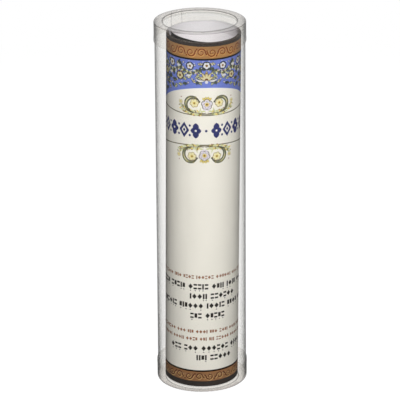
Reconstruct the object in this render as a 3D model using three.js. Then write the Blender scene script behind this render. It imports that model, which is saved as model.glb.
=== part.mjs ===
// A printed paper scroll rolled up inside a clear plastic tube, with a push-on
// clear cap at each end. Millimetres, +Z up. The origin is the middle of the
// ring that the bottom cap stands on.

import * as THREE from 'three';

// Rolled scroll
const scrollHeight = 280;
const scrollRadius = 28.6;
const sheetThickness = 0.15;
const turnGap = 0.45;
const leafCount = 3;
const leafLength = 275;
const leafLap = 8;
const lapEaseAngle = THREE.MathUtils.degToRad(25);

// The outer end of the roll springs open a little at the back
const outerEndAzimuth = THREE.MathUtils.degToRad(80);
const flapLift = 1.8;
const flapAngle = THREE.MathUtils.degToRad(75);

// The innermost turn is slack and bows into the bore at the front left
const slackDepth = 4.2;
const slackAzimuth = THREE.MathUtils.degToRad(219);
const slackHalfAngle = THREE.MathUtils.degToRad(70);

// Clear tube: one sheet rolled round and glued along a lap
const sideRoom = 5.4;
const tubeWall = 0.4;
const tubeLap = 10;
const tubeLapAzimuth = THREE.MathUtils.degToRad(122);

// Clear caps, one at each end, alike but for the bottom cap's rounder edge
const capWall = 0.3;
const capClearance = 0.25;
const capSkirtHeight = 15.6;
const capEdgeRadius = 0.9;
const footEdgeRadius = 2.6;
const capRingWidth = 6.4;
const recessDepth = 1.4;
const recessDraft = 0.7;
const recessEdgeRadius = 0.6;
const rimBandHeight = 2.5;
const rimBandStep = 0.15;
const rimBandSlope = 1;

// How the pieces sit together
const seatGap = 0.3;
const headRoom = 5.3;
const footOffset = 1.2;
const leanAzimuth = THREE.MathUtils.degToRad(-59.4);

// Facets
const turnSteps = 60;
const roundSteps = 72;
const filletSteps = 3;

// Sizes that follow from the ones above
const turnPitch = sheetThickness + turnGap;
const tubeInnerRadius = scrollRadius + sideRoom;
const tubeOuterRadius = tubeInnerRadius + tubeWall;
const capInnerRadius = tubeOuterRadius + capClearance;
const capOuterRadius = capInnerRadius + capWall;
const recessTopRadius = capOuterRadius - capRingWidth;
const recessFloorEdge = recessTopRadius - recessDraft;
const panelTop = recessDepth + capWall;
const tubeHeadGap = capWall + seatGap;

// The tube's foot stands where the bottom cap's rounded edge begins
const tubeFoot = Math.max(footEdgeRadius, capWall + seatGap);

// The roll touches the wall with the side that it leans to
const contactRadius = scrollRadius - turnPitch * (outerEndAzimuth - leanAzimuth) / (2 * Math.PI);
const leanOffset = tubeInnerRadius - contactRadius - seatGap;
const leanAngle = Math.asin((leanOffset + footOffset) / scrollHeight);
const edgeLift = contactRadius * Math.sin(leanAngle);
const scrollFoot = panelTop + seatGap + edgeLift;
const scrollTop = scrollFoot + scrollHeight * Math.cos(leanAngle) + edgeLift;
const caseHeight = scrollTop + headRoom + panelTop;
const tubeLength = caseHeight - tubeHeadGap - tubeFoot;

function clearPlastic() {
  return new THREE.MeshStandardMaterial({
    color: 0xeef1f2,
    roughness: 0.08,
    metalness: 0,
    transparent: true,
    opacity: 0.3,
  });
}

function printedPaper() {
  return new THREE.MeshStandardMaterial({ color: 0xe3dfcf, roughness: 0.62, metalness: 0 });
}

function blankPaper() {
  return new THREE.MeshStandardMaterial({ color: 0xe9e7ee, roughness: 0.8, metalness: 0 });
}

function polar(radius, angle) {
  return new THREE.Vector2(radius * Math.cos(angle), radius * Math.sin(angle));
}

// Angles from first to last, with every facet line between them, so that
// neighbouring turns and walls have their facets side by side
function facetAngles(first, last, stepsPerTurn) {
  const step = 2 * Math.PI / stepsPerTurn;
  const angles = [first];
  for (let line = Math.floor(first / step) + 1; line * step < last; line += 1) {
    angles.push(line * step);
  }
  angles.push(last);
  return angles;
}

function smoothRise(share) {
  return Math.sin(share * Math.PI / 2) ** 2;
}

// Angle between two azimuths, from 0 to half a turn
function azimuthDistance(first, second) {
  const turn = 2 * Math.PI;
  const difference = Math.abs(first - second) % turn;
  return Math.min(difference, turn - difference);
}

// Angle that a leaf takes when it is wound inward from a starting radius
function windingAngle(startRadius, length) {
  const fall = turnPitch / (2 * Math.PI);
  return (startRadius - Math.sqrt(startRadius ** 2 - 2 * fall * length)) / fall;
}

// Wound angles are counted inward from the outer end of the roll
function woundAzimuth(wound) {
  return outerEndAzimuth - wound;
}

function plainRadius(wound) {
  return scrollRadius - sheetThickness / 2 - turnPitch * wound / (2 * Math.PI);
}

// Each leaf begins under the end of the one outside it
function leafSpans() {
  const spans = [];
  let start = 0;
  for (let leaf = 0; leaf < leafCount; leaf += 1) {
    const startRadius = plainRadius(start);
    const end = start + windingAngle(startRadius, leafLength);
    spans.push({ start, end });
    start = end - leafLap / plainRadius(end);
  }
  return spans;
}

const leaves = leafSpans();
const innerEnd = leaves[leafCount - 1].end;

// A lap pushes every turn inside it in by one more sheet
function lapPush(wound, leafIndex) {
  let push = 0;
  for (let lap = 1; lap <= leafIndex; lap += 1) {
    const lapEnd = leaves[lap - 1].end;
    const middle = (leaves[lap].start + lapEnd) / 2;
    const beyond = azimuthDistance(wound, middle) - (lapEnd - leaves[lap].start) / 2;
    push += turnPitch * (1 - smoothRise(THREE.MathUtils.clamp(beyond / lapEaseAngle, 0, 1)));
  }
  return push;
}

function flapOut(wound) {
  const share = Math.max(0, 1 - wound / flapAngle);
  return flapLift * share ** 2;
}

function slackIn(wound) {
  if (innerEnd - wound > 2 * Math.PI) {
    return 0;
  }
  const away = azimuthDistance(woundAzimuth(wound), slackAzimuth) / slackHalfAngle;
  return slackDepth * smoothRise(Math.max(0, 1 - away));
}

function sheetRadius(wound, leafIndex) {
  return plainRadius(wound) + flapOut(wound) - lapPush(wound, leafIndex) - slackIn(wound);
}

// Middle line of one leaf as the roll's end shows it
function leafLine(leafIndex) {
  const { start, end } = leaves[leafIndex];
  const azimuths = facetAngles(woundAzimuth(end), woundAzimuth(start), turnSteps);
  return azimuths.map((azimuth) => {
    const wound = outerEndAzimuth - azimuth;
    return polar(sheetRadius(wound, leafIndex), azimuth);
  });
}

// Outline of a strip of even thickness along a line of points
function stripOutline(line, thickness) {
  const outer = [];
  const inner = [];
  line.forEach((point, index) => {
    const before = line[Math.max(0, index - 1)];
    const after = line[Math.min(line.length - 1, index + 1)];
    const along = after.clone().sub(before).normalize();
    const side = new THREE.Vector2(along.y, -along.x).multiplyScalar(thickness / 2);
    outer.push(point.clone().add(side));
    inner.push(point.clone().sub(side));
  });
  return outer.concat(inner.reverse());
}

function extruded(shape, depth) {
  return new THREE.ExtrudeGeometry(shape, { depth, bevelEnabled: false });
}

function scrollLeaf(name, leafIndex, material) {
  const outline = stripOutline(leafLine(leafIndex), sheetThickness);
  const mesh = new THREE.Mesh(extruded(new THREE.Shape(outline), scrollHeight), material);
  mesh.name = name;
  return mesh;
}

// The roll stands on the bottom cap's raised panel and leans on the tube's wall
function scroll() {
  const roll = new THREE.Group();
  roll.add(scrollLeaf('title_leaf', 0, printedPaper()));
  roll.add(scrollLeaf('middle_leaf', 1, blankPaper()));
  roll.add(scrollLeaf('last_leaf', 2, blankPaper()));
  roll.rotation.z = -leanAzimuth;
  const leaning = new THREE.Group();
  leaning.add(roll);
  leaning.rotation.y = leanAngle;
  leaning.position.set(-footOffset, 0, scrollFoot);
  const placed = new THREE.Group();
  placed.add(leaning);
  placed.rotation.z = leanAzimuth;
  return placed;
}

// The sheet's inner end lies under its outer end for the width of the lap
function clearTube() {
  const halfLap = tubeLap / tubeInnerRadius / 2;
  const lapStart = tubeLapAzimuth - halfLap;
  const lapEnd = tubeLapAzimuth + halfLap;
  const lapRadius = tubeInnerRadius - tubeWall;
  const outer = facetAngles(0, 2 * Math.PI, roundSteps).slice(1).map((angle) => polar(tubeOuterRadius, angle));
  const plain = facetAngles(lapEnd, lapStart + 2 * Math.PI, roundSteps);
  const lapped = facetAngles(lapStart, lapEnd, roundSteps);
  const bore = plain.map((angle) => polar(tubeInnerRadius, angle));
  bore.push(...lapped.map((angle) => polar(lapRadius, angle)));
  const shape = new THREE.Shape(outer);
  shape.holes.push(new THREE.Path(bore));
  const mesh = new THREE.Mesh(extruded(shape, tubeLength), clearPlastic());
  mesh.name = 'clear_tube';
  mesh.position.z = tubeFoot;
  return mesh;
}

// Arc that rounds the corner at a point between its two neighbours
function filletPoints(before, corner, after, radius) {
  const back = before.clone().sub(corner).normalize();
  const ahead = after.clone().sub(corner).normalize();
  const halfAngle = Math.acos(THREE.MathUtils.clamp(back.dot(ahead), -1, 1)) / 2;
  const centreDistance = radius / Math.sin(halfAngle);
  const centre = back.clone().add(ahead).setLength(centreDistance).add(corner);
  const reach = radius / Math.tan(halfAngle);
  const from = back.multiplyScalar(reach).add(corner).sub(centre);
  const to = ahead.multiplyScalar(reach).add(corner).sub(centre);
  const sweep = Math.atan2(from.cross(to), from.dot(to));
  const points = [];
  for (let step = 0; step <= filletSteps; step += 1) {
    const turned = from.clone().rotateAround(new THREE.Vector2(0, 0), sweep * step / filletSteps);
    points.push(turned.add(centre));
  }
  return points;
}

// Half section of a cap's outside, from its middle to its open rim. The face
// that the cap stands on is at zero, and the skirt goes down from it.
function capOutside(edgeRadius) {
  const bandRadius = capOuterRadius + rimBandStep;
  const bandStart = rimBandHeight + rimBandSlope - capSkirtHeight;
  const corners = [
    { at: new THREE.Vector2(0, -recessDepth) },
    { at: new THREE.Vector2(recessFloorEdge, -recessDepth) },
    { at: new THREE.Vector2(recessTopRadius, 0), fillet: recessEdgeRadius },
    { at: new THREE.Vector2(capOuterRadius, 0), fillet: edgeRadius },
    { at: new THREE.Vector2(capOuterRadius, bandStart) },
    { at: new THREE.Vector2(bandRadius, bandStart - rimBandSlope) },
    { at: new THREE.Vector2(bandRadius, -capSkirtHeight) },
  ];
  const points = [];
  corners.forEach((corner, index) => {
    if (corner.fillet === undefined) {
      points.push(corner.at);
    } else {
      points.push(...filletPoints(corners[index - 1].at, corner.at, corners[index + 1].at, corner.fillet));
    }
  });
  return points;
}

// The same line moved in by the wall, square to its course at each point
function offsetInside(line, wall) {
  return line.map((point, index) => {
    const before = line[Math.max(0, index - 1)];
    const after = line[Math.min(line.length - 1, index + 1)];
    const arriving = point.clone().sub(before).normalize();
    const leaving = after.clone().sub(point).normalize();
    const along = arriving.clone().add(leaving).normalize();
    const stretch = wall / Math.max(along.dot(arriving), along.dot(leaving));
    return new THREE.Vector2(along.y, -along.x).multiplyScalar(stretch).add(point);
  });
}

function capGeometry(edgeRadius) {
  const outside = capOutside(edgeRadius);
  const inside = offsetInside(outside, capWall);
  const profile = inside.concat(outside.reverse());
  return new THREE.LatheGeometry(profile, roundSteps).rotateX(Math.PI / 2);
}

function topCap() {
  const mesh = new THREE.Mesh(capGeometry(capEdgeRadius), clearPlastic());
  mesh.name = 'top_cap';
  mesh.position.z = caseHeight;
  return mesh;
}

function bottomCap() {
  const mesh = new THREE.Mesh(capGeometry(footEdgeRadius), clearPlastic());
  mesh.name = 'bottom_cap';
  mesh.rotation.x = Math.PI;
  return mesh;
}

// Least clear space between neighbouring turns of the sheet, on its points
function leastTurnGap() {
  const lines = leaves.map((leaf, leafIndex) => leafLine(leafIndex));
  const neighbourSteps = turnSteps / 2;
  let least = Infinity;
  lines.forEach((line, lineIndex) => {
    lines.slice(lineIndex).forEach((other, otherIndex) => {
      line.forEach((point, index) => {
        const first = otherIndex === 0 ? index + neighbourSteps : 0;
        other.slice(first).forEach((far) => {
          least = Math.min(least, point.distanceTo(far) - sheetThickness);
        });
      });
    });
  });
  return least;
}

console.log(`Case ${caseHeight.toFixed(2)} high, ${(2 * capOuterRadius).toFixed(2)} across`);
console.log(`Least gap between turns ${leastTurnGap().toFixed(3)}`);

const megillahCase = new THREE.Group();
megillahCase.add(bottomCap());
megillahCase.add(clearTube());
megillahCase.add(scroll());
megillahCase.add(topCap());

export default megillahCase;
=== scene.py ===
import math
import random

import bpy
import numpy as np
from mathutils import Matrix, Vector
from mathutils.geometry import delaunay_2d_cdt


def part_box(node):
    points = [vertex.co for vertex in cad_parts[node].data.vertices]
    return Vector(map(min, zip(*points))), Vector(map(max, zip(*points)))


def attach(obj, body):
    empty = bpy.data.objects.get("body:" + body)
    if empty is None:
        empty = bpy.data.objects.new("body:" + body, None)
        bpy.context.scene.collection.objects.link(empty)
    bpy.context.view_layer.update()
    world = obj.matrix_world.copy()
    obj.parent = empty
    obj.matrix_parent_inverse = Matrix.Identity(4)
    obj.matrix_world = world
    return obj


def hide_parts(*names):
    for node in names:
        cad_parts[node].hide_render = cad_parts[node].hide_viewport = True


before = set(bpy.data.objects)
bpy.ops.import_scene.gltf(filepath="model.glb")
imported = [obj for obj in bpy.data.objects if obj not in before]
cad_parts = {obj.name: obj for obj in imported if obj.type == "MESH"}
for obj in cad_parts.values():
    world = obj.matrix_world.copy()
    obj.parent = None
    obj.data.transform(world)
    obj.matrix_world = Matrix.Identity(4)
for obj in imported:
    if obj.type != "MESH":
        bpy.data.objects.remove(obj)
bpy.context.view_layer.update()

MM = 0.001
TURN = 2 * math.pi

# Rolled scroll, in the CAD model's sizes
SCROLL_HEIGHT = 280 * MM
SCROLL_RADIUS = 28.6 * MM
SHEET_THICKNESS = 0.15 * MM
TURN_GAP = 0.45 * MM
TURN_PITCH = SHEET_THICKNESS + TURN_GAP
LEAF_COUNT = 3
LEAF_LENGTH = 275 * MM
LEAF_LAP = 8 * MM
LAP_EASE_ANGLE = math.radians(25)
OUTER_END_AZIMUTH = math.radians(80)
FLAP_LIFT = 1.8 * MM
FLAP_ANGLE = math.radians(75)
SLACK_DEPTH = 4.2 * MM
SLACK_AZIMUTH = math.radians(219)
SLACK_HALF_ANGLE = math.radians(70)

# Tube and caps
TUBE_WALL = 0.4 * MM
TUBE_LAP = 10 * MM
TUBE_LAP_AZIMUTH = math.radians(122)
GLUE_LINE = 0.7 * MM
CAP_WALL = 0.3 * MM
CAP_CLEARANCE = 0.25 * MM
CAP_EDGE_RADIUS = 0.9 * MM
FOOT_EDGE_RADIUS = 2.6 * MM
CAP_RING_WIDTH = 6.4 * MM
RECESS_DEPTH = 1.4 * MM
RECESS_DRAFT = 0.7 * MM
RECESS_EDGE_RADIUS = 0.5 * MM
RECESS_LINE = 0.75 * MM
RECESS_FLOOR_RADIUS = 0.5 * MM
RIM_BAND_HEIGHT = 2.5 * MM
RIM_BAND_SLOPE = 1 * MM
RIM_BAND_EDGE_RADIUS = 0.8 * MM

# How the roll stands in the tube
SEAT_GAP = 0.3 * MM
FOOT_OFFSET = 1.2 * MM
LEAN_AZIMUTH = math.radians(-59.4)

# Fineness of the curved surfaces
ROUND_STEPS = 240
FILLET_STEPS = 6
PRINT_COLUMN = 2.0
SAME_PLACE = 0.0001 * MM
WINDING_STEPS = 3000

tube_low, tube_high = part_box("clear_tube")
cap_low, cap_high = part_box("top_cap")
TUBE_OUTER = tube_high.x
TUBE_INNER = TUBE_OUTER - TUBE_WALL
CAP_OUTER = TUBE_OUTER + CAP_CLEARANCE + CAP_WALL
CAP_SKIRT_HEIGHT = cap_high.z - cap_low.z
FRONT_AZIMUTH = -math.pi / 2


def srgb(red, green, blue):
    """Linear colour of a screen colour given from 0 to 255."""
    def linear(value):
        share = value / 255
        return share / 12.92 if share <= 0.04045 else ((share + 0.055) / 1.055) ** 2.4
    return (linear(red), linear(green), linear(blue), 1.0)


def unit(vector):
    return vector / np.linalg.norm(vector, axis=-1, keepdims=True)


def heading(angle):
    return np.stack([np.cos(angle), np.sin(angle)], axis=-1)


def evenly(count):
    """Angles that share a full turn evenly."""
    return np.arange(count) * TURN / count


def left_of(along):
    """Directions a quarter turn to the left of the given ones."""
    return along[..., ::-1] * (-1, 1)


def turned(points, angle):
    cosine, sine = heading(angle)
    return points @ np.array([[cosine, sine], [-sine, cosine]])


# Camera: the photograph's view, 20 degrees down, with the 400 by 400 frame
CAMERA_DISTANCE = 2265 * MM
CAMERA_HEIGHT = 967 * MM
CAMERA_PITCH = math.radians(19.92)
CAMERA_ROLL = math.radians(-0.395)
CAMERA_SIDE = 0.77 * MM
FOCAL_PIXELS = 3132.8
FRAME_PIXELS = 400
SENSOR = 36.0


def add_object(name, data):
    made = bpy.data.objects.new(name, data)
    bpy.context.scene.collection.objects.link(made)
    return made


def add_camera():
    data = bpy.data.cameras.new("camera")
    data.sensor_width = SENSOR
    data.lens = SENSOR * FOCAL_PIXELS / FRAME_PIXELS
    data.clip_start = 0.05
    camera = add_object("camera", data)
    tilt = Matrix.Rotation(math.pi / 2 - CAMERA_PITCH, 4, "X")
    roll = Matrix.Rotation(CAMERA_ROLL, 4, "Z")
    place = Matrix.Translation((-CAMERA_SIDE, -CAMERA_DISTANCE, CAMERA_HEIGHT))
    camera.matrix_world = place @ tilt @ roll
    bpy.context.scene.camera = camera


# Winding of the sheet: angles are counted inward from the roll's outer end
def smooth_rise(share):
    return np.sin(np.clip(share, 0, 1) * math.pi / 2) ** 2


def azimuth_distance(first, second):
    difference = np.abs(first - second) % TURN
    return np.minimum(difference, TURN - difference)


def plain_radius(wound):
    return SCROLL_RADIUS - SHEET_THICKNESS / 2 - TURN_PITCH * wound / TURN


def winding_angle(start_radius, length):
    fall = TURN_PITCH / TURN
    return (start_radius - math.sqrt(start_radius**2 - 2 * fall * length)) / fall


def leaf_spans():
    spans = []
    start = 0.0
    for _ in range(LEAF_COUNT):
        end = start + winding_angle(plain_radius(start), LEAF_LENGTH)
        spans.append((start, end))
        start = end - LEAF_LAP / plain_radius(end)
    return spans


LEAVES = leaf_spans()
INNER_END = LEAVES[-1][1]


def lap_push(wound, leaf):
    push = np.zeros_like(wound)
    for lap in range(1, leaf + 1):
        lap_start, lap_end = LEAVES[lap][0], LEAVES[lap - 1][1]
        away = azimuth_distance(wound, (lap_start + lap_end) / 2) - (lap_end - lap_start) / 2
        push += TURN_PITCH * (1 - smooth_rise(away / LAP_EASE_ANGLE))
    return push


def slack_in(wound):
    away = azimuth_distance(OUTER_END_AZIMUTH - wound, SLACK_AZIMUTH) / SLACK_HALF_ANGLE
    return np.where(INNER_END - wound > TURN, 0, SLACK_DEPTH * smooth_rise(1 - away))


def sheet_radius(wound, leaf):
    flap = FLAP_LIFT * np.clip(1 - wound / FLAP_ANGLE, 0, 1) ** 2
    return plain_radius(wound) + flap - lap_push(wound, leaf) - slack_in(wound)


def sheet_line(wound, leaf):
    return sheet_radius(wound, leaf)[:, None] * heading(OUTER_END_AZIMUTH - wound)


def roll_matrix():
    """Places the upright roll so that it stands on the bottom cap and leans on the tube."""
    contact = SCROLL_RADIUS - TURN_PITCH * (OUTER_END_AZIMUTH - LEAN_AZIMUTH) / TURN
    lean = math.asin((TUBE_INNER - contact - SEAT_GAP + FOOT_OFFSET) / SCROLL_HEIGHT)
    foot = RECESS_DEPTH + CAP_WALL + SEAT_GAP + contact * math.sin(lean)
    return (
        Matrix.Rotation(LEAN_AZIMUTH, 4, "Z")
        @ Matrix.Translation((-FOOT_OFFSET, 0, foot))
        @ Matrix.Rotation(lean, 4, "Y")
        @ Matrix.Rotation(-LEAN_AZIMUTH, 4, "Z")
    )


def walked_length(line):
    """How far along a line each of its points lies."""
    steps = np.linalg.norm(np.diff(line, axis=0), axis=1)
    return np.concatenate([[0.0], np.cumsum(steps)])


class Winding:
    """Maps one leaf's flat sheet onto the roll. Sheet places are in millimetres: x to the
    right of the roll's front middle as it is read, and y up from the foot."""

    def __init__(self, leaf):
        self.leaf = leaf
        start, end = LEAVES[leaf]
        self.wound = np.linspace(start, end, WINDING_STEPS)
        self.along = walked_length(sheet_line(self.wound, leaf)) / MM
        front = OUTER_END_AZIMUTH - FRONT_AZIMUTH
        self.right = np.interp(front, self.wound, self.along) if leaf == 0 else 0.0
        self.left = self.right - self.along[-1]
        self.matrix = np.array(roll_matrix())

    def place(self, flat, side):
        """World places and outward normals of flat points. side is 1 outside, -1 inside."""
        wound = np.interp(self.right - flat[:, 0], self.along, self.wound)
        step = (self.wound[1] - self.wound[0]) / 2
        along = unit(sheet_line(wound - step, self.leaf) - sheet_line(wound + step, self.leaf))
        normal = np.pad(-left_of(along), ((0, 0), (0, 1)))
        points = np.column_stack([sheet_line(wound, self.leaf), flat[:, 1] * MM])
        points += normal * side * SHEET_THICKNESS / 2
        moved = points @ self.matrix[:3, :3].T + self.matrix[:3, 3]
        return moved, normal @ self.matrix[:3, :3].T * side


# Flat drawing of the print, in millimetres
PAPER_HEIGHT = SCROLL_HEIGHT / MM
DARK_TOP = 277.3
GOLD_TOP_LOW = 267.9
LINE_TOP_LOW = 266.5
LINE_FOOT_TOP = 13.7
GOLD_FOOT_TOP = 12.2
DARK_FOOT = 4.4
# Lowest height of the painted shade along the top of the leaves' inner face
PAINTED_SHADE_LOW = 272.4
PRINT_MIDDLE = 2.4
ARCH_HALF_WIDTH = 78
ARCH_TOP = 245
ARCH_SPRING = 155
FRAME_SIDE = 3.4
FRAME_LINE = 0.5


class Drawing:
    """Ink shapes on a flat sheet. A later shape covers an earlier one."""

    def __init__(self):
        self.shapes = []

    def fill(self, ink, outline):
        outline = np.asarray(outline, float)
        ahead = np.roll(outline, -1, axis=0)
        area = np.sum(outline[:, 0] * ahead[:, 1] - ahead[:, 0] * outline[:, 1])
        self.shapes.append((ink, outline if area > 0 else outline[::-1]))

    def box(self, ink, left, right, low, high):
        self.fill(ink, [(left, low), (right, low), (right, high), (left, high)])

    def oval(self, ink, centre, across, up, turn=0.0, points=12):
        ring = heading(evenly(points)) * (across / 2, up / 2)
        self.fill(ink, turned(ring, turn) + centre)

    def dot(self, ink, centre, size, points=8):
        self.oval(ink, centre, size, size, points=points)

    def stroke(self, ink, line, start_width, end_width=None, swell=0.0):
        line = np.asarray(line, float)
        end_width = start_width if end_width is None else end_width
        across = left_of(unit(np.gradient(line, axis=0)))
        share = np.linspace(0, 1, len(line))[:, None]
        half = (start_width + (end_width - start_width) * share) / 2
        half += swell / 2 * np.sin(share * math.pi)
        self.fill(ink, np.concatenate([line + across * half, (line - across * half)[::-1]]))

    def leaf(self, ink, base, tip, width, bend=0.0, points=6):
        base, tip = np.asarray(base, float), np.asarray(tip, float)
        along = tip - base
        side = left_of(unit(along))
        share = np.linspace(0, 1, points + 1)[:, None]
        bulge = np.sin(share * math.pi)
        spine = base + along * share + side * bend * bulge
        left = spine + side * width / 2 * bulge**0.8
        right = spine - side * width / 2 * bulge**0.8
        self.fill(ink, np.concatenate([left, right[-2:0:-1]]))


def arch_height(x):
    """Height of the blue panel's arched lower edge."""
    share = np.clip(np.abs(x - PRINT_MIDDLE) / ARCH_HALF_WIDTH, 0, 1)
    return ARCH_SPRING + (ARCH_TOP - ARCH_SPRING) * np.sqrt(1 - share**2)


BANDS = (
    ("dark_border", DARK_TOP, PAPER_HEIGHT),
    ("gold_band", GOLD_TOP_LOW, DARK_TOP),
    ("line", LINE_TOP_LOW, GOLD_TOP_LOW),
    ("line", GOLD_FOOT_TOP, LINE_FOOT_TOP),
    ("gold_foot", DARK_FOOT, GOLD_FOOT_TOP),
    ("dark_border", 0, DARK_FOOT),
)
CURL_PITCH = 8.2
CURL_TURNS = 1.35
CURL_POINTS = 22
CURL_STROKE = 1.05
CURL_SHARE = 0.36
CURL_WINDING = 0.78


def draw_curls(page, ink, edge, left, right, low, high):
    """A running scroll of spirals with pale edges, mirrored about the print's middle."""
    middle = (low + high) / 2
    reach = (high - low) * CURL_SHARE
    count = int((right - left) / CURL_PITCH) + 2
    for number in range(-count, count):
        hand = 1 if number >= 0 else -1
        centre = PRINT_MIDDLE + (number + 0.5) * CURL_PITCH
        if centre - CURL_PITCH < left or centre + CURL_PITCH > right:
            continue
        angles = np.linspace(0, CURL_TURNS * TURN, CURL_POINTS)
        radii = reach * (1 - CURL_WINDING * angles / angles[-1])
        flip = 1 if number % 2 else -1
        curl = radii[:, None] * heading(angles) * (-hand, flip)
        tail = np.array([(-hand * CURL_PITCH * 0.5, -flip * reach * 0.55)])
        line = np.concatenate([tail, curl]) + (centre, middle)
        page.stroke(edge, line + (0.35, -0.45), CURL_STROKE + 0.5, 0.9)
        page.stroke(ink, line, CURL_STROKE, 0.55)
        bud = (centre + hand * CURL_PITCH * 0.42, middle + flip * reach * 0.75)
        page.dot(ink, bud, 1.3)


def draw_flower(page, centre, radius, petals, inks, turn=0.0):
    """A round blossom: rimmed petals, an eye and a few stamens."""
    rim, petal, eye, dot = inks
    width = radius * math.sin(math.pi / petals) * 2
    for size, ink in ((1.0, rim), (0.76, petal)):
        for angle in turn + evenly(petals):
            place = centre + radius * 0.58 * heading(angle)
            page.oval(ink, place, radius * 0.84 * size, width * size * 0.86, angle, 10)
    page.dot(eye, centre, radius * 0.72, 10)
    page.dot(dot, centre, radius * 0.34)


CREAM_BLOOM = ("rim_gold", "panel_cream", "eye_brown", "rim_gold")
PALE_BLOOM = ("rim_olive", "petal_white", "rim_gold", "eye_brown")
MAUVE_BLOOM = ("rim_olive", "petal_mauve", "petal_yellow", "eye_brown")
SPRAY_BLOOM = ("rim_gold", "petal_cream", "petal_yellow", "eye_brown")


def draw_sprig(page, line, spacing, length, inks, dice):
    """A stalk with pairs of small leaves and a berry now and then."""
    page.stroke("stalk", line, 0.55, 0.4)
    line = np.asarray(line, float)
    walked = walked_length(line)

    def at(reach):
        return np.array([np.interp(reach, walked, line[:, axis]) for axis in (0, 1)])

    for number, reach in enumerate(np.arange(spacing / 2, walked[-1], spacing)):
        place = at(reach)
        along = unit(at(reach + 0.5) - place)
        for side in (-1, 1):
            angle = side * math.radians(dice.uniform(38, 62))
            tip = place + turned(along, angle) * length * dice.uniform(0.75, 1.1)
            page.leaf(inks[(number + side) % len(inks)], place, tip, length * 0.42, side * 0.3)
        if number % 3 == 1:
            berry = place + turned(along, math.radians(80)) * length * 0.75
            page.dot("berry", berry, 0.95)


VINE_WAVE = 17.0
VINE_SWING = 1.7
VINE_DEPTH = 9.0
ARCH_ROOM = 9.0
BLOOM_RADIUS = 2.9
BLOOM_DROP = 6.0
PANEL_LEAVES = ("leaf_pale", "leaf_green", "panel_cream", "leaf_green")
FILLING_PITCH = 3.1
FILLING_ROOM = 3.6
PALMETTE_FOOT = 250.8
TOP_BLOOM = 262.4


def top_vine(x):
    return LINE_TOP_LOW - VINE_DEPTH + VINE_SWING * np.sin(TURN * x / VINE_WAVE)


def arch_vine(x):
    return arch_height(PRINT_MIDDLE + x) + ARCH_ROOM + 2 * np.sin(TURN * x / VINE_WAVE)


def middle_vine(x):
    return (top_vine(x) + arch_vine(x)) / 2


# Each vine's course, where it starts on either hand and the room it leaves at its end
VINES = ((top_vine, 5.5, 1), (arch_vine, 41, 7), (middle_vine, 58, 3))


def draw_bloom(page, bloom, radius, inks, turn):
    """A blossom on the blue ground, with a dark outline and a ring of pale dots."""
    page.dot("outline", bloom, radius * 2.4, 12)
    draw_flower(page, bloom, radius, 5, inks, turn)
    for angle in (0.4, 1.6, 2.7, 3.9, 5.2):
        page.dot("petal_white", bloom + radius * 1.45 * heading(angle + turn), 0.75, 6)


def draw_vine(page, course, start, end, hand, dice):
    """A flowering vine from start to end, away from the print's middle on one hand.
    Returns where its blossoms are."""
    x = np.linspace(start, end, int((end - start) * 1.6))
    line = np.stack([PRINT_MIDDLE + hand * x, course(x)], axis=1)
    page.stroke("outline", line, 1.1)
    draw_sprig(page, line, 1.9, 2.7, PANEL_LEAVES, dice)
    blooms = []
    crests = np.arange(VINE_WAVE / 4, end, VINE_WAVE / 2)
    for number, crest in enumerate(crests):
        if crest < start:
            continue
        side = -1 if number % 2 else 1
        here = np.array([PRINT_MIDDLE + hand * crest, course(crest)])
        inks = PALE_BLOOM if number % 2 else CREAM_BLOOM
        bloom = here - (0, side * BLOOM_DROP)
        blooms.append(bloom)
        draw_bloom(page, bloom, BLOOM_RADIUS * dice.uniform(0.92, 1.06), inks, crest)
        bud = here + (hand * 1.2, side * 0.9)
        for fan in (-0.8, 0.0, 0.8):
            tip = bud + 2.4 * heading(side * math.pi / 2 + fan)
            page.leaf("petal_white", bud, tip, 1.2)
    return blooms


def draw_filling(page, blooms, dice):
    """Small sprigs and dots that fill the panel between the vines' blossoms, the same on
    both hands."""
    blooms = np.array(blooms)
    for x in np.arange(FILLING_PITCH * 0.6, ARCH_HALF_WIDTH - 1.5, FILLING_PITCH):
        low = arch_height(PRINT_MIDDLE + x) + 5.0
        for y in np.arange(low, LINE_TOP_LOW - 1.6, FILLING_PITCH):
            place = np.array([x + dice.uniform(-0.9, 0.9), y + dice.uniform(-0.8, 0.8)])
            angle = dice.uniform(0, TURN)
            kind = dice.random()
            ink = dice.choice(PANEL_LEAVES)
            for hand in (-1, 1):
                here = np.array([PRINT_MIDDLE + hand * place[0], place[1]])
                if np.min(np.linalg.norm(blooms - here, axis=1)) < FILLING_ROOM:
                    continue
                if kind < 0.2:
                    page.dot("outline", here, 2.0)
                    page.dot("petal_white", here, 1.3, 7)
                    page.dot("eye_brown", here, 0.5, 5)
                    continue
                for fan in (-0.9, 0.0, 0.9):
                    aim = heading(angle + fan) * (hand, 1)
                    page.leaf("outline", here - aim * 0.5, here + aim * 2.8, 1.7, points=5)
                    page.leaf(ink, here, here + aim * 2.4, 0.95, points=5)


def draw_strip_buds(page, x):
    """A row of buds up the middle of a frame strip beside the print."""
    for height in np.arange(LINE_FOOT_TOP + 5, ARCH_SPRING + 50, 6.5):
        page.dot("panel_cream", (x, height), 1.7)
        page.leaf("leaf_pale", (x, height + 1.6), (x, height + 4.8), 1.2)


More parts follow.
